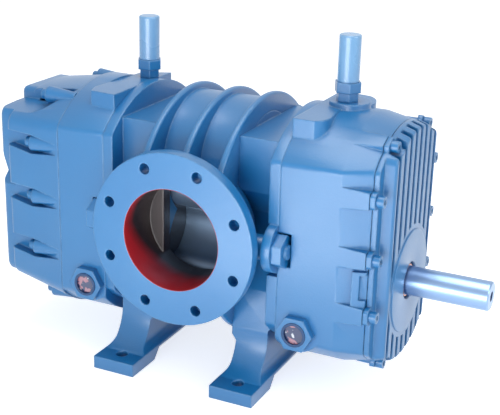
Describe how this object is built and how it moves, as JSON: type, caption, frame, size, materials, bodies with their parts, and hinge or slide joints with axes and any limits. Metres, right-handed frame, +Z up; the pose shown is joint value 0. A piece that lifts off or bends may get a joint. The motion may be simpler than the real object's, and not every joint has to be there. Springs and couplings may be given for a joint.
{
  "type": "roots vacuum pump",
  "caption": "Roots vacuum pump: ribbed two-rotor casing with round port flanges front and back, head plates on feet, gear and drive end covers, oil breathers and a free drive shaft.",
  "frame": {"origin": "centre of the four foot bolt holes, on the plane of the foot soles", "axes": "+X along the shafts towards the free drive shaft end, -Y out of the front port, +Z up"},
  "size_m": [0.847, 0.404, 0.572],
  "materials": {
    "blue_enamel": "gloss",
    "rotor_iron": "satin",
    "shaft_steel": "satin",
    "machined_steel": "satin",
    "gasket_rubber": "matte",
    "sight_glass": "gloss",
    "copper_sleeve": "satin",
    "labyrinth_aluminium": "satin"
  },
  "bodies": {
    "casing": {"rotor_casing": "blue_enamel", "gear_head_plate": "blue_enamel", "drive_head_plate": "blue_enamel", "gear_housing": "blue_enamel", "drive_housing": "blue_enamel", "gear_cover": "blue_enamel", "drive_cover": "blue_enamel", "gear_cover_gasket": "gasket_rubber", "drive_cover_gasket": "gasket_rubber", "drive_shaft_gear_end_bearing": "machined_steel", "drive_shaft_drive_end_bearing": "machined_steel", "driven_shaft_gear_end_bearing": "machined_steel", "driven_shaft_drive_end_bearing": "machined_steel", "bearing_retainers": "machined_steel", "gear_end_labyrinth_rings": "labyrinth_aluminium", "drive_end_labyrinth_rings": "labyrinth_aluminium", "shaft_seal": "gasket_rubber", "gear_cover_screws": "blue_enamel", "drive_cover_screws": "blue_enamel", "casing_screws": "machined_steel", "housing_screws": "machined_steel", "tie_bolts": "blue_enamel", "breather_adapters": "blue_enamel", "breather_nuts": "blue_enamel", "breather_caps": "blue_enamel", "sight_glass_bodies": "blue_enamel", "sight_glass_lenses": "sight_glass", "oil_drain_plugs": "blue_enamel"},
    "drive_rotor_shaft": {"drive_shaft": "shaft_steel", "drive_rotor": "rotor_iron", "drive_timing_gear": "machined_steel", "drive_gear_spacer": "machined_steel", "drive_gear_nut": "machined_steel", "drive_lock_nut": "machined_steel", "oil_slinger": "machined_steel", "shaft_wear_sleeve": "copper_sleeve"},
    "driven_rotor_shaft": {"driven_shaft": "machined_steel", "driven_rotor": "rotor_iron", "driven_timing_gear": "machined_steel", "driven_gear_spacer": "machined_steel", "driven_gear_nut": "machined_steel", "driven_lock_nut": "machined_steel", "driven_bearing_spacer": "machined_steel"}
  },
  "joints": [
    {"name": "drive_shaft_spin", "type": "hinge", "parent": "casing", "child": "drive_rotor_shaft", "pos_m": [0, 0, 0.185], "axis": [1, 0, 0], "continuous": true},
    {"name": "driven_shaft_spin", "type": "hinge", "parent": "casing", "child": "driven_rotor_shaft", "pos_m": [0, 0, 0.333], "axis": [1, 0, 0], "continuous": true}
  ],
  "couplings": [
    {"joint": "driven_shaft_spin", "follows": "drive_shaft_spin", "ratio": -1}
  ]
}
